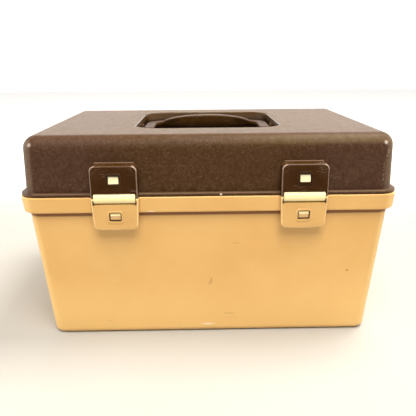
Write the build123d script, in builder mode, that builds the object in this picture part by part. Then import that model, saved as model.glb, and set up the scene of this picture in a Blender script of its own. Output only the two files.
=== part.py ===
from build123d import *
from math import cos, radians, sin, tan
import os

os.makedirs("parts", exist_ok=True)

# Moulded two-tone sewing carrier: a tapered tub with a turned-down rim, a deep lid
# with a recessed bail handle, two strap latches in front, two strap hinges behind
# and a lift-out tray. Millimetres, +Z up, front towards -Y, origin under the
# middle of the box on the surface that it stands on.

# Tub
box_width = 360.0            # over the rim, left to right
box_depth = 258.0            # over the rim, front to back
parting_height = 151.0       # top of the rim, where the lid closes
base_inset = 17.0            # base edge inside the rim edge
tub_wall = 2.4
tub_floor = 2.8
tub_corner_radius = 12.5
tub_base_radius = 6.0        # rounding between wall and base
rim_height = 15.6
rim_overhang = 5.6           # rim beyond the wall at the parting plane
rim_draft = 6.6              # degrees
rim_corner_radius = 19.0
rim_top = 2.4                # thickness of the rim's top web
skirt_wall = 2.2             # thickness of the turned-down skirt
skirt_edge_radius = 2.0
rim_edge_radius = 0.9        # along the rim's top edge
lip_height = 3.0             # upstand that guides the lid
lip_wall = 2.0
lip_root = 2.0               # how far the upstand runs down inside the wall

# Lid
lid_gap = 0.3                # closed lid above the rim
lid_height = 56.0
lid_wall = 2.2
lid_inset = 5.1              # lid wall inside the rim edge
lid_draft = 1.4              # degrees
lid_corner_radius = 15.0
lid_top_radius = 12.5
flange_thickness = 3.6
flange_inset = 1.0           # flange edge inside the rim edge
flange_edge_radius = 1.4
flange_foot_radius = 1.2     # flange's lower edge, over the parting gap
lip_clearance = 0.5

# Recess for the handle, in the lid's top
well_width = 152.0
well_offset = 3.0            # recess centre behind the box centre
well_depth = 28.0
well_corner_radius = 27.0
well_draft = 3.0             # degrees
well_floor_radius = 4.0
well_lip_radius = 2.0

# Bail handle, pivoted in the middle of the recess and folded towards the back
pivot_drop = 9.8             # pivot axis below the lid's top
handle_side_gap = 3.6        # arms to the recess's sides, at the lid's top
handle_reach = 58.0          # pivot to the grip's far edge
finger_room = 16.0           # grip's far edge to the recess's end
heel_length = 13.0           # pivot to the arm's near end
heel_radius = 4.0            # outer corners of the near ends
arm_width = 11.6
arm_thickness = 4.4
grip_width = 16.0            # front to back
grip_span = 108.0            # length of the lens-shaped grip
grip_shoulder = 76.0         # where the lens bulges to its full height
grip_crown = 9.4             # grip's top above the pivot axis
grip_belly = 5.4             # grip's underside below the pivot axis
handle_corner_radius = 26.0
handle_inner_radius = 16.0
handle_edge_radius = 1.6
hub_radius = 4.6
pin_radius = 3.5
pin_length = 6.5             # from the arm's side
pin_clearance = 0.08
hub_clearance = 0.35
pivot_boss_radius = 8.0
pivot_boss_length = 8.0

# Strap fittings, shared by latches and hinges
fitting_spacing = 176.0      # between the two latches, and between the two hinges
plate_width = 44.6
plate_standoff = 4.2         # plate face in front of the rim face
plate_edge_radius = 2.1
housing_height = 32.6        # above the parting plane, on the lid's wall
housing_head_fall = 2.0      # from there down to the plate face
housing_side_fall = 0.4      # each side, likewise
housing_corner_radius = 5.5
side_gap = 0.5               # beside a strap's bar or knuckle
tongue_width = 29.0
tongue_thickness = 1.4
tongue_depth = 1.4           # plate face to the tongue's face
tongue_length = 22.0
tongue_corner_radius = 4.0
tongue_clearance = 0.2
window_width = 11.6
window_height = 9.2
window_radius = 1.8
window_distance = 17.8       # parting plane to the window's middle
barb_clearance = 0.7         # above and below the barb, in its window
barb_side_gap = 1.15
barb_depth = 0.3             # barb's tip below the plate face
bezel_width = 1.5
bezel_height = 0.7
bezel_edge_radius = 0.4

# Front latches
bar_length = 38.4
bar_height = 9.2
bar_proud = 1.4              # bar's face in front of the plates
bar_shoulder = 2.6           # sagitta of the bar's rounded face
bar_edge_radius = 1.0
bar_end_radius = 0.7
bar_back_gap = 0.5           # bar's back in front of the rim face
bar_top_gap = 0.35           # to the housing
bar_foot_gap = 1.3           # to the flap
flap_length = 30.5           # parting plane to the flap's lower edge
flap_top_gap = 0.25
flap_taper = 1.6             # each side
flap_lean = 2.6              # degrees
flap_clearance = 0.5         # behind the flap
flap_corner_radius = 5.0
flap_bow = 0.9               # of the lower edge

# Rear hinges
knuckle_radius = 2.6
knuckle_gap = 0.35
hinge_axis_out = 3.0         # hinge axis behind the rim face
hinge_plate_length = 30.5
hinge_plate_wall = 1.8

# Tray
tray_clearance = 6.4         # between the tray's flange and the lip
tray_drop = 3.0              # tray's flange below the parting plane
tray_depth = 42.0
tray_wall = 1.8
tray_draft = 3.0             # degrees
tray_corner_radius = 14.0
tray_foot_radius = 3.0
tray_flange_width = 3.4
tray_flange_thickness = 2.0
divider_wall = 2.2
divider_drop = 3.0           # dividers below the flange
end_bin_width = 72.0
end_bin_length = 74.0
front_bin_length = 78.0
finger_dip_width = 74.0       # dip in the front divider, to lift the tray by
finger_dip_depth = 14.0
finger_dip_radius = 6.0
peg_rows = 3
peg_columns = 4
peg_pitch = 42.0
peg_radius = 2.6
peg_height = 34.0
shelf_rib_width = 3.0
shelf_rib_reach = 7.0        # rib's bearing under the tray
shelf_gap = 0.3
end_rib_spacing = 120.0
side_rib_spacing = 190.0

half_width = box_width / 2
half_depth = box_depth / 2
lid_bottom = parting_height + lid_gap
lid_top = lid_bottom + lid_height
rim_bottom = parting_height - rim_height
lip_inset = lid_inset + lid_wall + lip_clearance
well_length = 2 * (handle_reach + finger_room)
pivot_y = well_offset
pivot_z = lid_top - pivot_drop
handle_width = well_width - 2 * handle_side_gap
tray_top = parting_height - tray_drop
tray_flange_inset = lip_inset + lip_wall + tray_clearance
tray_shell_inset = tray_flange_inset + tray_flange_width
tray_foot_inset = tray_shell_inset + tray_depth * tan(radians(tray_draft))
shelf_height = tray_top - tray_depth - shelf_gap


def box_outline(inset, radius, mode=Mode.ADD):
    """Rounded rectangle that stands inside the rim edge by the inset."""
    RectangleRounded(box_width - 2 * inset, box_depth - 2 * inset, radius, mode=mode)


def tub_inset(height):
    """Wall's outer face inside the rim edge, at a height above the base."""
    return base_inset + (rim_overhang - base_inset) * height / parting_height


def fitting_frame(centre, outward, lean=0.0):
    """Plate face of a latch (outward 1) or hinge (-1): x across, y up from the parting, z out."""
    slope = radians(lean)
    return Plane(
        origin=(centre, -outward * (half_depth + plate_standoff), parting_height),
        x_dir=(outward, 0, 0),
        z_dir=(0, -outward * cos(slope), -sin(slope)),
    )


def section_plane(frame, width):
    """Section across a fitting: x out from the plate face, y up, extruded over the width."""
    return Plane(origin=frame.from_local_coords((width / 2, 0, 0)), x_dir=frame.z_dir, z_dir=-frame.x_dir)


def span(low, high, width, radius=0.0, corner=-1):
    """Rectangle between two heights of a fitting, with its top (-1) or lower (0) corners rounded."""
    with BuildSketch(mode=Mode.PRIVATE) as outline:
        with Locations((0, (low + high) / 2)):
            Rectangle(width, high - low)
        if radius:
            fillet(outline.vertices().group_by(Axis.Y)[corner], radius)
    return outline.sketch


# Tub: rim and skirt, drafted body, and its inside with slots left for the tray's ribs.
with BuildPart() as rim_block:
    with BuildSketch(Plane.XY.offset(parting_height)):
        box_outline(0, rim_corner_radius)
    extrude(amount=-rim_height, taper=rim_draft)
    fillet(rim_block.edges().group_by(Axis.Z)[0], skirt_edge_radius)
    fillet(rim_block.edges().group_by(Axis.Z)[-1], rim_edge_radius)

with BuildPart() as tub_body:
    with BuildSketch(Plane.XY):
        box_outline(base_inset, tub_corner_radius)
    with BuildSketch(Plane.XY.offset(parting_height)):
        box_outline(rim_overhang, tub_corner_radius)
    loft(ruled=True)
    fillet(tub_body.edges().group_by(Axis.Z)[0], tub_base_radius)

with BuildPart() as tub_cavity:
    with BuildSketch(Plane.XY.offset(tub_floor)):
        box_outline(tub_inset(tub_floor) + tub_wall, tub_corner_radius - tub_wall)
    with BuildSketch(Plane.XY.offset(parting_height)):
        box_outline(rim_overhang + tub_wall, tub_corner_radius - tub_wall)
    loft(ruled=True)
    fillet(tub_cavity.edges().group_by(Axis.Z)[0], tub_base_radius - tub_wall)
    rib_length = tray_foot_inset + shelf_rib_reach
    with BuildSketch(Plane.XY.offset(tub_floor)):
        with GridLocations(box_width - rib_length, end_rib_spacing, 2, 2):
            Rectangle(rib_length, shelf_rib_width)
        with GridLocations(side_rib_spacing, box_depth - rib_length, 2, 2):
            Rectangle(shelf_rib_width, rib_length)
    extrude(amount=shelf_height - tub_floor, mode=Mode.SUBTRACT)

with BuildPart() as tub:
    add(rim_block.part)
    with BuildSketch(Plane.XY.offset(rim_bottom)):
        box_outline(rim_height * tan(radians(rim_draft)) + skirt_wall, rim_corner_radius - skirt_wall)
    extrude(amount=rim_height - rim_top, mode=Mode.SUBTRACT)
    add(tub_body.part)
    add(tub_cavity.part, mode=Mode.SUBTRACT)
    with BuildSketch(Plane.XY.offset(parting_height - lip_root)):
        box_outline(lip_inset, lid_corner_radius - lid_wall)
        box_outline(lip_inset + lip_wall, lid_corner_radius - lid_wall - lip_wall, mode=Mode.SUBTRACT)
    extrude(amount=lip_root + lip_height)

# Lid: its outside with the flange, its inside, and the recess for the handle.
with BuildPart() as lid_envelope:
    with BuildSketch(Plane.XY.offset(lid_bottom)):
        box_outline(flange_inset, rim_corner_radius - flange_inset)
    extrude(amount=flange_thickness)
    fillet(lid_envelope.edges().group_by(Axis.Z)[-1], flange_edge_radius)
    with BuildSketch(Plane.XY.offset(lid_bottom)):
        box_outline(lid_inset, lid_corner_radius)
    extrude(amount=lid_height, taper=lid_draft)
    fillet(lid_envelope.edges().group_by(Axis.Z)[-1], lid_top_radius)

with BuildPart() as lid_cavity:
    with BuildSketch(Plane.XY.offset(lid_bottom)):
        box_outline(lid_inset + lid_wall, lid_corner_radius - lid_wall)
    extrude(amount=lid_height - lid_wall, taper=lid_draft)
    fillet(lid_cavity.edges().group_by(Axis.Z)[-1], lid_top_radius - lid_wall)

with BuildPart() as well:
    with BuildSketch(Plane.XY.offset(lid_top)):
        with Locations((0, well_offset)):
            RectangleRounded(well_width, well_length, well_corner_radius)
    extrude(amount=-well_depth, taper=well_draft)
    fillet(well.edges().group_by(Axis.Z)[0], well_floor_radius)

with BuildPart() as lid:
    add(lid_envelope.part)
    add(lid_cavity.part, mode=Mode.SUBTRACT)
    fillet(lid.faces().sort_by(Axis.Z)[0].outer_wire().edges(), flange_foot_radius)
    with BuildSketch(Plane.XY.offset(lid_top)):
        with Locations((0, well_offset)):
            RectangleRounded(
                well_width + 2 * lid_wall, well_length + 2 * lid_wall, well_corner_radius + lid_wall
            )
    extrude(amount=-(well_depth + lid_wall), taper=well_draft)
    with BuildSketch(Plane.YZ.offset(well_width / 2 + pivot_boss_length)):
        with Locations((pivot_y, pivot_z)):
            Circle(pivot_boss_radius)
    extrude(amount=-2 * pivot_boss_length)
    mirror(about=Plane.YZ)
    add(well.part, mode=Mode.SUBTRACT)
    pin_hole_length = handle_width / 2 + pin_length + hub_clearance
    with BuildSketch(Plane.YZ):
        with Locations((pivot_y, pivot_z)):
            Circle(pin_radius + pin_clearance)
    extrude(amount=pin_hole_length, both=True, mode=Mode.SUBTRACT)
    top_edges = lid.edges().group_by(Axis.Z)[-1]
    fillet(top_edges.filter_by_position(Axis.X, -well_width / 2 - 0.1, well_width / 2 + 0.1), well_lip_radius)

# Handle: a flat bail whose grip swells to a lens in front view, with a hub outside each arm.
with BuildPart() as handle:
    with BuildSketch(Plane.XY.offset(pivot_z - grip_belly)) as bail:
        with Locations((0, pivot_y + (handle_reach - heel_length) / 2)):
            Rectangle(handle_width, handle_reach + heel_length)
        fillet(bail.vertices().group_by(Axis.Y)[-1], handle_corner_radius)
        fillet(bail.vertices().group_by(Axis.Y)[0], heel_radius)
    extrude(amount=grip_belly + grip_crown)
    with BuildSketch(Plane.XY.offset(pivot_z - grip_belly)) as hand_space:
        with Locations((0, pivot_y + (handle_reach - grip_width - heel_length) / 2)):
            Rectangle(handle_width - 2 * arm_width, handle_reach - grip_width + heel_length)
        fillet(hand_space.vertices().group_by(Axis.Y)[-1], handle_inner_radius)
    extrude(amount=grip_belly + grip_crown, mode=Mode.SUBTRACT)
    with BuildSketch(Plane.XZ.offset(-pivot_y)):
        with BuildLine():
            for side in (1, -1):
                rise = grip_crown if side == 1 else -grip_belly
                arm = side * arm_thickness / 2
                for end in (-1, 1):
                    Line((end * handle_width / 2, pivot_z + arm), (end * grip_span / 2, pivot_z + arm))
                    Bezier(
                        (end * grip_span / 2, pivot_z + arm),
                        (end * grip_shoulder / 2, pivot_z + rise),
                        (0, pivot_z + rise),
                    )
            for end in (-1, 1):
                Line(
                    (end * handle_width / 2, pivot_z - arm_thickness / 2),
                    (end * handle_width / 2, pivot_z + arm_thickness / 2),
                )
        make_face()
    extrude(amount=handle_reach + heel_length, both=True, mode=Mode.INTERSECT)
    fillet(handle.edges().filter_by(Axis.Z, reverse=True), handle_edge_radius)
    hub_end = well_width / 2 - pivot_drop * tan(radians(well_draft)) - hub_clearance
    with BuildSketch(Plane.YZ.offset(handle_width / 2)):
        with Locations((pivot_y, pivot_z)):
            Circle(hub_radius)
    extrude(amount=hub_end - handle_width / 2)
    with BuildSketch(Plane.YZ.offset(handle_width / 2)):
        with Locations((pivot_y, pivot_z)):
            Circle(pin_radius)
    extrude(amount=pin_length)
    mirror(about=Plane.YZ)


# Latches and hinges.
pocket_depth = tongue_depth + tongue_thickness + tongue_clearance
bar_top = bar_height / 2
lid_ridge = -0.98            # barb's ridge within the window, from foot (-1) to head (1)
tub_ridge = 0.35
knuckle_top = knuckle_radius + knuckle_gap


def cut_pocket(frame, low, high, window):
    """Slot for a strap's tongue between two heights, with the window for its barb."""
    with BuildSketch(frame.offset(-pocket_depth)) as slot:
        add(span(low, high, tongue_width + 2 * tongue_clearance))
    extrude(slot.sketch, amount=tongue_thickness + 2 * tongue_clearance, mode=Mode.SUBTRACT)
    with BuildSketch(frame.offset(-pocket_depth)) as opening:
        with Locations((0, window)):
            RectangleRounded(window_width, window_height, window_radius)
    extrude(opening.sketch, amount=pocket_depth + bezel_height, mode=Mode.SUBTRACT)


def round_face(part, frame):
    """Round the edges of the face that looks out from the box."""
    fillet(part.faces().sort_by(Axis(frame.origin, frame.z_dir))[-1].edges(), plate_edge_radius)


def add_bezel(part, frame, window):
    """Raised border round a window, with its outer edge rounded."""
    with BuildSketch(frame) as border:
        with Locations((0, window)):
            RectangleRounded(
                window_width + 2 * bezel_width, window_height + 2 * bezel_width, window_radius + bezel_width
            )
            RectangleRounded(window_width, window_height, window_radius, mode=Mode.SUBTRACT)
    extrude(border.sketch, amount=bezel_height)
    face = part.faces().sort_by(Axis(frame.origin, frame.z_dir))[-1]
    fillet(face.outer_wire().edges(), bezel_edge_radius)


def make_housing(frame, foot, notch_width, notch_top):
    """Pocket housing seated on the lid wall, notched at its foot for the strap."""
    depth = plate_standoff + lid_inset + lid_wall
    with BuildPart() as housing:
        with BuildSketch(frame.offset(-depth)):
            add(span(foot, housing_height, plate_width, housing_corner_radius))
        with BuildSketch(frame):
            face_width = plate_width - 2 * housing_side_fall
            add(span(foot, housing_height - housing_head_fall, face_width, housing_corner_radius))
        loft(ruled=True)
        round_face(housing, frame)
        with BuildSketch(frame):
            add(span(-notch_top, notch_top, notch_width))
        extrude(amount=-depth, mode=Mode.SUBTRACT)
        add_bezel(housing, frame, window_distance)
        cut_pocket(frame, notch_top, notch_top + tongue_length + tongue_clearance, window_distance)
        add(lid_envelope.part, mode=Mode.SUBTRACT)
    return housing


def make_tongue(frame, low, high, tip, window, ridge):
    """Strap's tongue between two heights; its barb rises to a ridge in the window."""
    with BuildSketch(frame.offset(-tongue_depth)) as blade:
        add(span(low, high, tongue_width, tongue_corner_radius, tip))
    extrude(blade.sketch, amount=-tongue_thickness)
    barb_width = window_width - 2 * barb_side_gap
    reach = window_height / 2 - barb_clearance
    with BuildSketch(section_plane(frame, barb_width)) as barb:
        with BuildLine():
            Polyline(
                (-tongue_depth, window - reach),
                (-barb_depth, window + ridge * reach),
                (-tongue_depth, window + reach),
                close=True,
            )
        make_face()
    extrude(barb.sketch, amount=barb_width)


def make_latch_bar(frame):
    """Upper half of a latch strap: the bar across the parting, and the tongue in the lid."""
    with BuildPart() as leaf:
        shoulder = bar_proud - bar_shoulder
        back = bar_back_gap - plate_standoff
        with BuildSketch(section_plane(frame, bar_length)) as profile:
            with BuildLine():
                Polyline((shoulder, -bar_top), (back, -bar_top), (back, bar_top), (shoulder, bar_top))
                ThreePointArc((shoulder, bar_top), (bar_proud, 0), (shoulder, -bar_top))
            make_face()
            fillet(profile.vertices().group_by(Axis.X)[-1], bar_edge_radius)
        extrude(amount=bar_length)
        ends = leaf.faces().filter_by(Axis.X)
        front_edges = ends.edges().group_by(Axis(frame.origin, frame.z_dir))[-1]
        fillet(front_edges, bar_end_radius)
        make_tongue(frame, bar_top / 2, housing_notch + tongue_length, -1, window_distance, lid_ridge)
    return leaf


def make_hinge_knuckle(frame):
    """Upper half of a hinge strap: the knuckle on the hinge axis, and the tongue in the lid."""
    with BuildPart() as leaf:
        with BuildSketch(section_plane(frame, plate_width)):
            with Locations((hinge_axis_out - plate_standoff, 0)):
                Circle(knuckle_radius)
        extrude(amount=plate_width)
        make_tongue(frame, 0, knuckle_top + tongue_length, -1, window_distance, lid_ridge)
    return leaf


def make_lower_tongue(frame, top):
    """Lower half of a strap: the tongue in the flap or in the hinge plate."""
    with BuildPart() as leaf:
        make_tongue(frame, top - tongue_length, top, 0, -window_distance, tub_ridge)
    return leaf


def make_flap(frame):
    """Latch flap: closes over the rim, notched at its head for the bar, ends as a finger pull."""
    half_top = plate_width / 2
    half_foot = half_top - flap_taper
    notch = bar_top + bar_foot_gap
    with BuildPart() as flap:
        with BuildSketch(frame) as outline:
            with BuildLine():
                Polyline(
                    (-half_foot, -flap_length),
                    (-half_top, -flap_top_gap),
                    (half_top, -flap_top_gap),
                    (half_foot, -flap_length),
                )
                ThreePointArc((half_foot, -flap_length), (0, -flap_length - flap_bow), (-half_foot, -flap_length))
            make_face()
            fillet(outline.vertices().group_by(Axis.Y)[0], flap_corner_radius)
        extrude(amount=flap_clearance - plate_standoff)
        round_face(flap, frame)
        with BuildSketch(frame):
            add(span(-notch, notch, bar_length + 2 * side_gap))
        extrude(amount=-plate_standoff, mode=Mode.SUBTRACT)
        add_bezel(flap, frame, -window_distance)
        cut_pocket(frame, -notch - tongue_length - tongue_clearance, -notch, -window_distance)
    return flap


def make_hinge_plate(frame):
    """Fixed plate of a rear hinge, seated on rim and wall, hollow behind its lower half."""
    depth = plate_standoff + base_inset
    with BuildPart() as plate:
        with BuildSketch(frame):
            add(span(-hinge_plate_length, -knuckle_top, plate_width, flap_corner_radius, 0))
        extrude(amount=-depth)
        round_face(plate, frame)
        with BuildSketch(frame.offset(-(pocket_depth + tongue_clearance + hinge_plate_wall))):
            add(span(-2 * hinge_plate_length, -(rim_height + hinge_plate_wall), plate_width - 2 * hinge_plate_wall))
        extrude(amount=-depth, mode=Mode.SUBTRACT)
        add_bezel(plate, frame, -window_distance)
        cut_pocket(frame, -knuckle_top - tongue_length - tongue_clearance, -knuckle_top, -window_distance)
        add(rim_block.part, mode=Mode.SUBTRACT)
        add(tub_body.part, mode=Mode.SUBTRACT)
    return plate


housing_notch = bar_top + bar_top_gap
fittings = {}
for side, centre in (("left", -fitting_spacing / 2), ("right", fitting_spacing / 2)):
    front = fitting_frame(centre, 1)
    leaning = fitting_frame(centre, 1, flap_lean)
    rear = fitting_frame(centre, -1)
    flap_notch = -(bar_top + bar_foot_gap)
    fittings["latch_housing_" + side] = make_housing(front, lid_gap, bar_length + 2 * side_gap, housing_notch)
    fittings["latch_bar_" + side] = make_latch_bar(front)
    fittings["latch_flap_" + side] = make_flap(leaning)
    fittings["latch_tongue_" + side] = make_lower_tongue(leaning, flap_notch)
    fittings["hinge_housing_" + side] = make_housing(rear, knuckle_top, side_gap, knuckle_top)
    fittings["hinge_knuckle_" + side] = make_hinge_knuckle(rear)
    fittings["hinge_plate_" + side] = make_hinge_plate(rear)
    fittings["hinge_tongue_" + side] = make_lower_tongue(rear, -knuckle_top)

# Tray: the room inside it with the dividers left standing, then its shell and pegs.
tray_half_width = half_width - tray_shell_inset
tray_half_depth = half_depth - tray_shell_inset
end_wall_x = tray_half_width - end_bin_width
front_wall_y = front_bin_length - tray_half_depth
divider_height = tray_depth - tray_wall - divider_drop
peg_bed_y = (front_wall_y + tray_half_depth) / 2

with BuildPart() as tray_cavity:
    with BuildSketch(Plane.XY.offset(tray_top)):
        box_outline(tray_shell_inset + tray_wall, tray_corner_radius - tray_wall)
    extrude(amount=tray_wall - tray_depth, taper=tray_draft)
    with BuildSketch(Plane.XY.offset(tray_top - tray_depth + tray_wall)):
        with GridLocations(2 * end_wall_x, 0, 2, 1):
            Rectangle(divider_wall, box_depth)
        with Locations((0, front_wall_y)):
            Rectangle(2 * end_wall_x, divider_wall)
        with GridLocations(2 * end_wall_x + half_width, end_bin_length, 2, 2):
            Rectangle(half_width, divider_wall)
    extrude(amount=divider_height, mode=Mode.SUBTRACT)
    with BuildSketch(Plane.XZ.offset(-front_wall_y)) as dip:
        with Locations((0, tray_top - divider_drop - finger_dip_depth / 2)):
            Rectangle(finger_dip_width, finger_dip_depth)
        fillet(dip.vertices().group_by(Axis.Y)[0], finger_dip_radius)
    extrude(amount=divider_wall, both=True)

with BuildPart() as tray:
    with BuildSketch(Plane.XY.offset(tray_top)):
        box_outline(tray_shell_inset, tray_corner_radius)
    extrude(amount=-tray_depth, taper=tray_draft)
    fillet(tray.edges().group_by(Axis.Z)[0], tray_foot_radius)
    with BuildSketch(Plane.XY.offset(tray_top)):
        box_outline(tray_flange_inset, tray_corner_radius + tray_flange_width)
    extrude(amount=-tray_flange_thickness)
    add(tray_cavity.part, mode=Mode.SUBTRACT)
    with BuildSketch(Plane.XY.offset(tray_top - tray_depth + tray_wall)):
        with Locations((0, peg_bed_y)):
            with GridLocations(peg_pitch, peg_pitch, peg_columns, peg_rows):
                Circle(peg_radius)
    extrude(amount=peg_height)

pieces = {"tub": tub, "lid": lid, "handle": handle, "tray": tray, **fittings}
for name, piece in pieces.items():
    piece.part.label = name
    export_step(piece.part, "parts/" + name + ".step")
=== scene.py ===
"""Moulded sewing carrier: tan tub and tray, grained brown lid, glossy brown fittings, cream straps."""

import bpy
import numpy as np
from mathutils import Matrix

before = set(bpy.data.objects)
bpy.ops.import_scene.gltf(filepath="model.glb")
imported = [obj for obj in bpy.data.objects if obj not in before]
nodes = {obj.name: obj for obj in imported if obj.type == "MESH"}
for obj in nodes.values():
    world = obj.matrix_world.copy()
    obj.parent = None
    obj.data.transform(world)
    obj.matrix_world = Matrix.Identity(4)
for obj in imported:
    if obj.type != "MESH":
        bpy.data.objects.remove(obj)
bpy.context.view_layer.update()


# ---------------------------------------------------------------------------
# Tub: one tan injection moulding with a turned-down rim, satin smooth. Painted light makes it paler at its
# rounded corners and towards its foot, and painted shadow darkens the wall just under the rim. A
# crayon-like streak, thin lines of dirt, a fleck, a rubbed patch at the foot of the front wall and one on
# the rim are its wear.

class Feed:
    """A value, colour or vector on its way through a material: arithmetic on it adds Math nodes."""

    def __init__(self, tree, socket=None):
        self.tree, self.socket = tree, socket

    def node(self, kind, settings=None, sockets=None, output=0):
        """Adds a node: its settings first, then its sockets, values or feeds, by name or index."""
        made = self.tree.nodes.new("ShaderNode" + kind)
        for name, value in (settings or {}).items():
            setattr(made, name, value)
        for name, value in (sockets or {}).items():
            if isinstance(value, Feed):
                self.tree.links.new(value.socket, made.inputs[name])
            else:
                made.inputs[name].default_value = value
        return Feed(self.tree, made.outputs[output])

    def math(self, operation, *values):
        return self.node("Math", {"operation": operation}, dict(enumerate(values)))

    def __add__(self, other):
        return self.math("ADD", self, other)

    def __sub__(self, other):
        return self.math("SUBTRACT", self, other)

    def __rsub__(self, other):
        return self.math("SUBTRACT", other, self)

    def __mul__(self, other):
        return self.math("MULTIPLY", self, other)

    def __abs__(self):
        return self.math("ABSOLUTE", self)

    def __or__(self, other):
        """The larger of two masks."""
        return self.math("MAXIMUM", self, other)

    __radd__ = __add__
    __rmul__ = __mul__


def new_finish(name):
    """An empty material: returns it, its shader, and the object's own coordinates in metres."""
    material = bpy.data.materials.new(name)
    material.use_nodes = True
    shader = material.node_tree.nodes["Principled BSDF"]
    return material, shader, Feed(material.node_tree).node("TexCoord", output="Object")


def dress(finish, *names):
    """Gives the CAD pieces of these names a finish in place of their plain one."""
    for name in names:
        nodes[name].data.materials.clear()
        nodes[name].data.materials.append(finish)


def link(feed, shader, socket):
    """Drives a shader's socket with what varies over the surface."""
    feed.tree.links.new(feed.socket, shader.inputs[socket])


def split(vector):
    """The x, y and z of a vector."""
    made = vector.node("SeparateXYZ", None, {0: vector})
    return [Feed(vector.tree, socket) for socket in made.socket.node.outputs]


def facing_of(place):
    """The surface's own normal on the object's axes: x is its lean, y how it looks ahead, z its lift."""
    return place.node("TexCoord", output="Normal")


def step(value, low, high):
    """Smooth rise of a value from 0 at low to 1 at high, or a fall where low is the larger."""
    sockets = {"Value": value, "From Min": low, "From Max": high}
    return value.node("MapRange", {"interpolation_type": "SMOOTHSTEP"}, sockets)


def band(value, lower, upper):
    """1 between two limits and 0 outside: each limit is the value where it is 0, then where it is 1."""
    return step(value, *lower) * step(value, *upper)


def cloud(place, size, detail=2.0):
    """Soft noise about 0.5, with blotches of that size in metres."""
    return place.node("TexNoise", None, {"Vector": place, "Scale": 1 / size, "Detail": detail})


def patches(place, size, low, high, detail=2.0):
    """Patches of that size: 0 where a cloud is thinner than low, and 1 where it is denser than high."""
    return step(cloud(place, size, detail), low, high)


def blend_colours(share, first, second):
    """Mix of two colours (feeds or RGB triples) by a share from 0 to 1."""
    pair = [c if isinstance(c, Feed) else (*c, 1.0) for c in (first, second)]
    sockets = {0: share, 6: pair[0], 7: pair[1]}
    return share.node("Mix", {"data_type": "RGBA"}, sockets, output=2)


def hairlines(place, turn, size, thinness, sparse):
    """Fine scratches: contour lines of a noise stretched eightfold along its turned x axis, kept where a
    broad cloud is dense. Thinness is the contour's half width in noise units."""
    turned = place.node("Mapping", None, {"Vector": place, "Rotation": turn, "Scale": (0.12, 1.0, 1.0)})
    line = step(abs(cloud(turned, size, 1.0) - 0.5), thinness, 0.0)
    return line * patches(place, 6 * size, sparse, sparse + 0.06)


def spot(place, centre, reach, softness=0.35):
    """Mark in the shape of an ellipsoid: 1 inside its reach along x, y and z, fading over the softness."""
    inverse = tuple(1 / r for r in reach)
    offset = tuple(-c / r for c, r in zip(centre, reach))
    local = place.node("VectorMath", {"operation": "MULTIPLY_ADD"}, {0: place, 1: inverse, 2: offset})
    radius = local.node("VectorMath", {"operation": "LENGTH"}, {0: local}, output="Value")
    return step(radius, 1.0, 1 - softness)


def relief(height, depth, shader, strength=1.0):
    """Drives the shader's normal with a height from 0 to 1 over a depth in metres."""
    bump = height.node("Bump", None, {"Height": height, "Distance": depth, "Strength": strength})
    link(bump, shader, "Normal")


TAN = (0.700, 0.420, 0.142)
TAN_DEEP = (0.625, 0.348, 0.102)
TAN_PALE = (0.860, 0.560, 0.210)
TAN_SHADED = (0.190, 0.050, 0.001)
GRIME = (0.300, 0.135, 0.025)
FLECK = (0.400, 0.140, 0.004)
RUBBED = (0.900, 0.720, 0.480)
RIM_FOOT = 0.1354

tub_finish, shader, place = new_finish("satin_tan")
z = split(place)[2]
lean, ahead = split(facing_of(place))[:2]
blotchy = patches(place, 0.05, 0.3, 0.75, 4.0)
# Painted light: the tan turns paler towards the foot, where the floor throws light back up.
foot_light = step(z, 0.090, 0.010)
# Painted highlight on the rounded vertical corners, where the normal turns halfway to the side.
corner_light = step(abs(lean), 0.25, 0.60) * step(abs(ahead), 0.25, 0.60)
# Painted shadow in a narrow band on the wall just under the rim.
rim_shadow = band(z, (RIM_FOOT - 0.0052, RIM_FOOT - 0.0030), (RIM_FOOT, RIM_FOOT - 0.0004))
dirt = (
    0.75 * spot(place, (0.0012, -0.1165, 0.0600), (0.0007, 0.004, 0.0042))
    + 0.55 * spot(place, (-0.0006, -0.1165, 0.0572), (0.0009, 0.004, 0.0022))
    + 0.45 * spot(place, (0.0195, -0.1136, 0.0213), (0.0075, 0.004, 0.0006))
    + 0.30 * spot(place, (0.0256, -0.1196, 0.1010), (0.0050, 0.004, 0.0006))
    + 0.22 * hairlines(place, (0.2, 0.9, 0.1), 0.007, 0.006, 0.60)
)
fleck = spot(place, (0.1378, -0.1172, 0.0694), (0.0019, 0.004, 0.0015), 0.6)
rub = (
    0.75 * spot(place, (-0.0024, -0.1127, 0.0088), (0.0105, 0.004, 0.0020), 0.8)
    + 0.6 * spot(place, (-0.0553, -0.1274, 0.1368), (0.0065, 0.004, 0.0013), 0.8)
    + 0.14 * hairlines(place, (0.1, -0.6, 0.4), 0.010, 0.006, 0.62)
)
tan = blend_colours(0.6 * blotchy, TAN, TAN_DEEP)
tan = blend_colours(0.5 * foot_light, tan, TAN_PALE)
tan = blend_colours(0.6 * corner_light, tan, TAN_PALE)
tan = blend_colours(0.92 * rim_shadow, tan, TAN_SHADED)
tan = blend_colours(dirt, tan, GRIME)
tan = blend_colours(0.85 * fleck, tan, FLECK)
link(blend_colours(rub, tan, RUBBED), shader, "Base Color")
link(0.36 + 0.14 * cloud(place, 0.025, 3.0) + 0.10 * rub, shader, "Roughness")
relief(cloud(place, 0.0016, 3.0), 0.00006, shader, 0.4)
dress(tub_finish, "tub")

# ---------------------------------------------------------------------------
# Tray: a thin moulding in a paler, greyer tan, with bins and thread pegs. It rests on ribs in the tub and
# lifts out, and has only fine scratches.

TRAY_TAN = (0.620, 0.405, 0.180)
TRAY_DEEP = (0.560, 0.345, 0.135)

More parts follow.
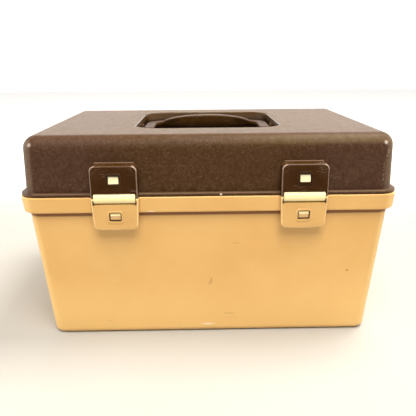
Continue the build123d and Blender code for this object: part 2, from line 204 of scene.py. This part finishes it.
tray_finish, shader, place = new_finish("pale_tan")
blotchy = patches(place, 0.05, 0.3, 0.7, 3.0)
scratch = hairlines(place, (0.1, 0.2, 0.8), 0.006, 0.008, 0.55)
tan = blend_colours(0.5 * blotchy, TRAY_TAN, TRAY_DEEP)
link(blend_colours(0.3 * scratch, tan, RUBBED), shader, "Base Color")
link(0.38 + 0.12 * cloud(place, 0.02, 3.0), shader, "Roughness")
relief(cloud(place, 0.0016, 3.0), 0.00005, shader, 0.35)
dress(tray_finish, "tray")


# ---------------------------------------------------------------------------
# Lid: one dark brown injection moulding, the colour right through, from a mould that is etched with a fine
# leather grain outside and polished in the handle's recess and inside. Its top edges are worn, and dust, a
# few pale nicks and scuffs lie in the grain. Painted highlights lie along its rounded top front edge,
# stronger to the right, on its rounded corners and along the flange's upper edge, with painted glints at
# two top corners.

def fix(shader, values):
    """Sets a shader's sockets that are the same all over the surface."""
    for socket, value in values.items():
        shader.inputs[socket].default_value = value


def oblong(x, y, longer):
    """How far out a place is in an oblong that is longer along x than along y by so much at each end:
    |x| less that length, or |y|, whichever is more."""
    return abs(x) - longer | abs(y)


LID_BROWN = (0.046, 0.0172, 0.0020)
LID_ENDS = (0.048, 0.0185, 0.0085)
LID_HIGHLIGHT = (0.160, 0.115, 0.030)
LID_PALE = (0.130, 0.080, 0.048)
LID_NICK_AND_GLINT = (0.750, 0.660, 0.580)
RECESS_BROWN = (0.060, 0.029, 0.007)
RECESS_SHADE = (0.010, 0.0048, 0.0020)
SHEEN_TINT = (1.0, 0.82, 0.56, 1.0)
PEBBLES_PER_METRE = 1100.0
BOX_MIDDLE = (0.0, 0.0, 0.150)
PARTING = 0.151
LID_TOP = 0.2056
FLANGE_HALF_DEPTH, FLANGE_LONGER = 0.1279, 0.0510
RECESS_HALF_DEPTH, RECESS_LONGER, RECESS_MIDDLE = 0.0800, 0.0020, 0.003

lid_finish, shader, place = new_finish("grained_brown")
x, y, z = split(place)
facing = facing_of(place)
lean, ahead, lift = split(facing)
voronoi = {"Vector": place, "Scale": PEBBLES_PER_METRE, "Smoothness": 0.6}
grain = place.node("TexVoronoi", {"feature": "SMOOTH_F1"}, voronoi) + 0.5 * cloud(place, 0.00035)
mottle = patches(place, 0.0035, 0.25, 0.75, 4.0)
dust = patches(place, 0.0011, 0.50, 0.66, 1.0) * patches(place, 0.007, 0.30, 0.60)
scratch = hairlines(place, (0.3, 0.5, 0.35), 0.006, 0.012, 0.56)
worn_edge = step(z, 0.1955, 0.204) * patches(place, 0.005, 0.25, 0.75, 3.0)
# Painted highlight on the rounded vertical corners, where their normals turn partly to the side.
corner_highlight = step(abs(lean), 0.22, 0.46) * step(abs(ahead), 0.45, 0.72)
corner_highlight = corner_highlight * (0.45 + 1.1 * patches(place, 0.0010, 0.35, 0.65))
# Painted highlight along the flange's upper outer edge.
flange_highlight = (
    step(oblong(x, y, FLANGE_LONGER), FLANGE_HALF_DEPTH - 0.0013, FLANGE_HALF_DEPTH)
    * step(z, PARTING + 0.0018, PARTING + 0.0036)
)
# Painted highlight on the rounded top front edge, stronger towards the right.
top_edge_highlight = (
    band(lift, (0.15, 0.45), (0.97, 0.80)) * step(abs(ahead), 0.2, 0.5) * step(x, -0.03, 0.12)
)
chafe = (
    spot(place, (0.1630, -0.1231, 0.1700), (0.0011, 0.003, 0.0150), 0.5)
    * patches(place, 0.0014, 0.48, 0.60)
)
# Pale nicks and scuffs, and two painted glints at the lid's top front corners.
nicks_and_glints = (
    spot(place, (0.0106, -0.1280, 0.1527), (0.0011, 0.004, 0.0013))
    + 0.50 * spot(place, (0.1634, -0.1216, 0.1990), (0.0026, 0.003, 0.0028), 0.8)
    + 0.40 * spot(place, (-0.1647, -0.1208, 0.1995), (0.0028, 0.003, 0.0028), 0.8)
    + 0.20 * spot(place, (0.1669, -0.1210, 0.1905), (0.0006, 0.003, 0.0028))
    + 0.18 * spot(place, (0.1656, -0.1218, 0.1866), (0.0012, 0.003, 0.0006))
    + 0.16 * chafe
)
# Paler mix: real mottle, dust, worn top edges and scratches, with the painted corner and flange highlights.
pale = (
    0.16 * mottle + 0.32 * dust + 0.10 * worn_edge + 0.55 * corner_highlight + 0.90 * flange_highlight
    + 0.35 * scratch
)
brown = blend_colours(step(abs(x), 0.060, 0.130), LID_BROWN, LID_ENDS)
brown = blend_colours(0.24 * top_edge_highlight, brown, LID_HIGHLIGHT)
brown = blend_colours(pale, brown, LID_PALE)
link(blend_colours(nicks_and_glints, brown, LID_NICK_AND_GLINT), shader, "Base Color")
link(0.52 + 0.08 * cloud(place, 0.006, 3.0) - 0.06 * worn_edge - 0.05 * corner_highlight, shader, "Roughness")
relief(grain, 0.00018, shader, 0.65)
fix(shader, {
    "Specular IOR Level": 0.15,
    "Sheen Weight": 0.16,
    "Sheen Tint": SHEEN_TINT,
    "Sheen Roughness": 0.35,
})

# The recess and the lid's inside are polished, not grained: a second shader takes over below the lid's top
# in the recess's outline, and wherever the surface faces the middle of the box. Painted shade darkens the
# recess with depth, and a painted highlight lies on the top of its long walls towards the handle's arms.
polished = place.node("BsdfPrincipled").socket.node
from_middle = place.node("VectorMath", {"operation": "SUBTRACT"}, {0: place, 1: BOX_MIDDLE})
vectors = {0: facing, 1: from_middle}
outward = place.node("VectorMath", {"operation": "DOT_PRODUCT"}, vectors, output="Value")
inner = step(outward, 0.0, -0.004)
recess = (
    step(oblong(x, y - RECESS_MIDDLE, RECESS_LONGER), RECESS_HALF_DEPTH, RECESS_HALF_DEPTH - 0.0015)
    * step(z, LID_TOP, LID_TOP - 0.0010)
)
lining = inner * step(lift, -0.6, -0.3) | step(lift, 0.3, 0.6) | step(abs(lean), 0.4, 0.8)
# Painted shade, deepening towards the recess's floor.
recess_shade = recess * lining * step(z, 0.2030, 0.1980)
# Painted highlight on the tops of the recess's long walls, towards the handle's arms.
pale_patch = recess * step(abs(ahead), 0.3, 0.7) * step(abs(x), 0.025, 0.045) * step(z, 0.1965, 0.2000)
scratch = hairlines(place, (0.2, 0.3, 0.5), 0.004, 0.012, 0.55)
brown = blend_colours(recess_shade, RECESS_BROWN, RECESS_SHADE)
brown = blend_colours(0.5 * pale_patch, brown, LID_PALE)
link(blend_colours(0.35 * scratch, brown, LID_PALE), polished, "Base Color")
link(0.24 + 0.14 * cloud(place, 0.012, 3.0), polished, "Roughness")
relief(cloud(place, 0.0030, 2.0), 0.00010, polished, 0.25)
fix(polished, {"Specular IOR Level": 0.12})
grained, smooth = (Feed(place.tree, made.outputs[0]) for made in (shader, polished))
both = place.node("MixShader", None, {0: recess | inner, 1: grained, 2: smooth})
link(both, lid_finish.node_tree.nodes["Material Output"], "Surface")
dress(lid_finish, "lid")


# ---------------------------------------------------------------------------
# Housings of the latches and hinges: glossy dark brown boxes fixed to the lid, from polished moulds. Thumbs
# have left hairline scratches, pale specks and pale rubbed patches. A painted highlight lies along the top
# edge and the rounded edges, brightest as painted glints at the outer top corners.

GLOSS_BROWN = (0.033, 0.0108, 0.0006)
GLOSS_FADED = (0.075, 0.034, 0.011)
GLOSS_WEAR_AND_HIGHLIGHT = (0.320, 0.240, 0.185)
FITTING_OFFSET = 0.088
HOUSING_HEAD = 0.1832
HOUSING_OUTER_END = 0.1095


def from_fitting(x):
    """Distance along x from the middle of the nearer latch or hinge."""
    return abs(abs(x) - FITTING_OFFSET)


def rounding(place, flat, steep):
    """1 on a face's rounded edges: where the surface looks forwards or backwards by less than the flat
    share and more than the steep one, and 0 on the flat faces."""
    ahead = abs(split(facing_of(place))[1])
    return band(ahead, (steep - 0.15, steep + 0.1), (flat + 0.06, flat - 0.04))


gloss_finish, shader, place = new_finish("gloss_brown")
x, _, z = split(place)
across = from_fitting(x)
blotchy = patches(place, 0.03, 0.3, 0.7)
streaks = hairlines(place, (0.4, 0.5, 0.2), 0.0032, 0.016, 0.54)
fine = hairlines(place, (0.9, -0.8, 0.3), 0.0020, 0.016, 0.56)
speck = (
    spot(place, (-0.0693, -0.1330, 0.1819), (0.0014, 0.003, 0.0012), 0.6)
    + spot(place, (0.1069, -0.1330, 0.1815), (0.0010, 0.003, 0.0010), 0.6)
    + 0.5 * spot(place, (-0.0715, -0.1332, 0.1838), (0.0012, 0.003, 0.0007), 0.6)
)
# Painted highlight: a thin bright line along each housing's top front edge.
head_highlight = step(z, HOUSING_HEAD - 0.00045, HOUSING_HEAD)
head_highlight = head_highlight * step(abs(x), HOUSING_OUTER_END, HOUSING_OUTER_END - 0.0010)
side = step(across, 0.0150, 0.0190)
# Painted highlight on the rounded edges, strongest at the sides and as glints at the top outer corners.
rounded_edge_highlight = rounding(place, 0.90, 0.55) * (0.10 + 0.44 * side + 0.5 * side * step(z, 0.1740, 0.1800))
# Pale rubbed patches on the upper face.
pale_patch = patches(place, 0.0010, 0.50, 0.62) * step(across, 0.0070, 0.0180) * step(z, 0.166, 0.181)
wear_and_highlight = 0.24 * streaks + 0.18 * fine + speck + 0.38 * head_highlight + rounded_edge_highlight + 0.14 * pale_patch
brown = blend_colours(0.25 * blotchy, GLOSS_BROWN, GLOSS_FADED)
link(blend_colours(wear_and_highlight, brown, GLOSS_WEAR_AND_HIGHLIGHT), shader, "Base Color")
link(0.17 + 0.12 * cloud(place, 0.010, 3.0) + 0.25 * wear_and_highlight, shader, "Roughness")
relief(cloud(place, 0.0030, 2.0), 0.00010, shader, 0.25)
fix(shader, {"Specular IOR Level": 0.08})
dress(
    gloss_finish,
    "latch_housing_left", "latch_housing_right", "hinge_housing_left", "hinge_housing_right",
)

# ---------------------------------------------------------------------------
# Handle: one dark brown bail with a lens-shaped grip, moulded with a hub and a pin on each arm that snap
# into the lid. Hands have dulled the middle of the grip and left hairlines, and painted shadow darkens the
# lower part and the ends of its front face.

HANDLE_BROWN = (0.044, 0.0175, 0.0030)
HANDLE_DULLED = (0.075, 0.036, 0.012)
HANDLE_SHADOW = (0.010, 0.004, 0.001)

handle_finish, shader, place = new_finish("worn_brown")
x, _, z = split(place)
gripped = step(abs(x), 0.052, 0.030) * patches(place, 0.010, 0.35, 0.65, 3.0)
streaks = hairlines(place, (0.1, 0.1, 0.2), 0.0030, 0.014, 0.55)
front = step(split(facing_of(place))[1], -0.6, -0.9)
# Painted shadow on the grip's front face, over its lower part and towards its ends.
grip_shadow = front * (step(z, 0.2015, 0.1955) | step(abs(x), 0.028, 0.040))
brown = blend_colours(0.30 * gripped, HANDLE_BROWN, HANDLE_DULLED)
brown = blend_colours(0.30 * streaks, brown, GLOSS_WEAR_AND_HIGHLIGHT)
link(blend_colours(0.65 * grip_shadow, brown, HANDLE_SHADOW), shader, "Base Color")
link(0.40 + 0.10 * cloud(place, 0.008, 3.0) + 0.08 * gripped, shader, "Roughness")
relief(cloud(place, 0.0020, 3.0), 0.00008, shader, 0.3)
fix(shader, {"Specular IOR Level": 0.06})
dress(handle_finish, "handle")


# ---------------------------------------------------------------------------
# Latch flaps and hinge plates: the tub's tan again, from a polished mould, so smoother and glossier. The
# flaps hang in front of the rim on their straps and the plates are fixed to the tub's back. A painted
# highlight lies on their rounded edges, and painted shadow at each end of a flap's bar.

FLAP_TAN = (0.630, 0.370, 0.122)
FLAP_DEEP = (0.570, 0.315, 0.092)
FLAP_HIGHLIGHT = (0.860, 0.620, 0.300)
BAR_END_SHADE = (0.030, 0.013, 0.004)
BAR_END_SHADE_HEIGHT = 0.1468


def front_half(y):
    """1 on the front half of the box and 0 on its rear half."""
    return step(y, 0.001, -0.001)


flap_finish, shader, place = new_finish("smooth_tan")
x, y, z = split(place)
blotchy = patches(place, 0.02, 0.3, 0.75, 3.0)
scuff = hairlines(place, (0.2, 0.7, 0.5), 0.004, 0.008, 0.56)
# Painted shadow in the gap at each end of the bar, on the front flaps only.
bar_end_shadow = (
    band(from_fitting(x), (0.0184, 0.0191), (0.0208, 0.0201))
    * step(abs(z - BAR_END_SHADE_HEIGHT), 0.0027, 0.0020)
    * front_half(y)
)
tan = blend_colours(0.5 * blotchy, FLAP_TAN, FLAP_DEEP)
# Painted highlight on the rounded edges.
tan = blend_colours(0.7 * rounding(place, 0.92, 0.45), tan, FLAP_HIGHLIGHT)
tan = blend_colours(0.4 * scuff, tan, RUBBED)
link(blend_colours(0.9 * bar_end_shadow, tan, BAR_END_SHADE), shader, "Base Color")
link(0.28 + 0.12 * cloud(place, 0.008, 3.0) + 0.1 * scuff, shader, "Roughness")
relief(cloud(place, 0.0012, 3.0), 0.00004, shader, 0.35)
dress(flap_finish, "latch_flap_left", "latch_flap_right", "hinge_plate_left", "hinge_plate_right")

# ---------------------------------------------------------------------------
# Straps: one flexible cream moulding to each latch and hinge, snapped into both plates by its barbs. It has
# yellowed in patches and is paler above the bar. Painted shade darkens the lower barbs of the front straps,
# and painted shadow fills the gaps around the barbs' heads in the windows of the plates.

CREAM = (0.905, 0.785, 0.415)
CREAM_AGED = (0.860, 0.690, 0.360)
CREAM_PALER = (0.930, 0.830, 0.560)
CREAM_SHADED = (0.600, 0.350, 0.150)
BARB_SHADOW = (0.020, 0.012, 0.006)
FLAP_LEAN = 0.0454
WINDOW_OFFSET = 0.0178
WINDOW_BACK = 0.13188

strap_finish, shader, place = new_finish("cream_strap")
x, y, z = split(place)
aged = patches(place, 0.006, 0.45, 0.8, 3.0)
# Paler above the bar.
above_bar = step(z, PARTING + 0.006, PARTING + 0.009)
# Painted shade on the lower barbs of the front straps, whose ramps face down.
lower_barb_shade = band(z, (0.1278, 0.1284), (0.1345, 0.1338)) * front_half(y)
window = (
    step(from_fitting(x), 0.0068, 0.0064)
    * step(abs(abs(z - PARTING) - WINDOW_OFFSET), 0.0060, 0.0055)
)
lean = FLAP_LEAN * ((PARTING - z | 0.0) * front_half(y))
# Painted shadow on the tongue behind each window, around the barb's head.
window_shadow = step(abs(y) + lean, WINDOW_BACK + 0.0002, WINDOW_BACK) * window
cream = blend_colours(0.45 * aged, CREAM, CREAM_AGED)
cream = blend_colours(0.7 * above_bar, cream, CREAM_PALER)
cream = blend_colours(0.8 * lower_barb_shade, cream, CREAM_SHADED)
link(blend_colours(window_shadow, cream, BARB_SHADOW), shader, "Base Color")
link(0.34 + 0.12 * cloud(place, 0.004, 2.0), shader, "Roughness")
relief(cloud(place, 0.0010, 2.0), 0.00004, shader, 0.3)
for part in ("latch_bar", "latch_tongue", "hinge_knuckle", "hinge_tongue"):
    dress(strap_finish, f"{part}_left", f"{part}_right")

# ---------------------------------------------------------------------------
# Studio: a pale matt floor, painted paler and with a painted glow far behind the object, in a white room
# that is also brighter behind than in front. Three soft warm lamps light it: one high in front, one
# overhead to the right, and a weak one at the left.

FLOOR_GREY = (0.40, 0.385, 0.365)
FLOOR_PALE = (0.44, 0.425, 0.405)
FLOOR_FAR = (0.92, 0.91, 0.90)
NO_GLOW = (0.0, 0.0, 0.0)
FAR_GLOW = (0.34, 0.335, 0.33)
ROOM_WHITE = (1.0, 0.985, 0.96, 1.0)
LAMP_WARM = (1.0, 0.95, 0.85)
FLOOR_REACH = 4.0
FLOOR_DROP = 0.0002

# The floor is a level square grid of three by three points, just below the object's feet.
line = np.linspace(-FLOOR_REACH, FLOOR_REACH, 3)
rows, columns = np.meshgrid(line, line, indexing="ij")
points = np.stack([rows, columns, np.full_like(rows, -FLOOR_DROP)], -1).reshape(-1, 3)
first = (np.arange(2)[:, None] * 3 + np.arange(2)).reshape(-1)
quads = np.stack([first, first + 3, first + 4, first + 1], -1)
mesh = bpy.data.meshes.new("floor")
mesh.from_pydata(points.tolist(), [], quads.tolist())
floor = bpy.data.objects.new("floor", mesh)
bpy.context.scene.collection.objects.link(floor)

floor_finish, shader, place = new_finish("floor")
y = split(place)[1]
pale = blend_colours(cloud(place, 0.3), FLOOR_GREY, FLOOR_PALE)
# Painted light: the floor turns paler and glows far behind the object.
link(blend_colours(step(y, 0.15, 1.0), pale, FLOOR_FAR), shader, "Base Color")
link(blend_colours(step(y, 0.2, 1.4), NO_GLOW, FAR_GLOW), shader, "Emission Color")
fix(shader, {"Emission Strength": 1.0, "Roughness": 0.9, "Specular IOR Level": 0.1})
mesh.materials.append(floor_finish)

world = bpy.data.worlds.new("studio")
world.use_nodes = True
bpy.context.scene.world = world
_, y, z = split(Feed(world.node_tree).node("TexCoord", output="Generated"))
behind = step(y, -0.5, 0.7) * step(z, 0.75, 0.2)
low_front = step(z, 0.22, 0.05) * step(y, 0.1, -0.5)
background = world.node_tree.nodes["Background"]
fix(background, {"Color": ROOM_WHITE})
link(0.18 + 3.2 * behind + 0.45 * low_front, background, "Strength")

for name, location, degrees, size, power in (
    ("key", (0.14, -1.20, 2.05), (33, 4, 0), 1.4, 76.0),
    ("overhead", (0.54, 0.10, 1.5), (-4, 20, 0), 0.7, 31.0),
    ("side", (-1.40, -0.20, 0.40), (0, -78, 7), 0.6, 7.5),
):
    light = bpy.data.lights.new(name, "AREA")
    light.size, light.energy, light.color = size, power, LAMP_WARM
    lamp = bpy.data.objects.new(name, light)
    lamp.location, lamp.rotation_euler = location, np.radians(degrees)
    bpy.context.scene.collection.objects.link(lamp)

# ---------------------------------------------------------------------------
# Camera: 0.57 m in front of the box's middle and 0.27 m up, looking down by 17 degrees. Its axes are worked
# out from its pitch, turn and roll in radians.

EYE = (-0.00877, -0.5729, 0.2744)
PITCH, TURN, ROLL = 0.294, 0.016, -0.008
ahead = np.array([np.sin(TURN) * np.cos(PITCH), np.cos(TURN) * np.cos(PITCH), -np.sin(PITCH)])
side = np.array([np.cos(TURN), -np.sin(TURN), 0.0])
above = np.cross(side, ahead)
across = np.cos(ROLL) * side + np.sin(ROLL) * above
upward = np.cos(ROLL) * above - np.sin(ROLL) * side
axes = Matrix(np.stack([across, upward, -ahead], 1).tolist()).to_4x4()
camera = bpy.data.objects.new("camera", bpy.data.cameras.new("camera"))
camera.data.lens, camera.data.sensor_width = 42.84, 36.0
camera.data.clip_start = 0.01
camera.matrix_world = Matrix.Translation(EYE) @ axes
bpy.context.scene.collection.objects.link(camera)
bpy.context.scene.camera = camera
bpy.context.scene.view_settings.view_transform = "Standard"
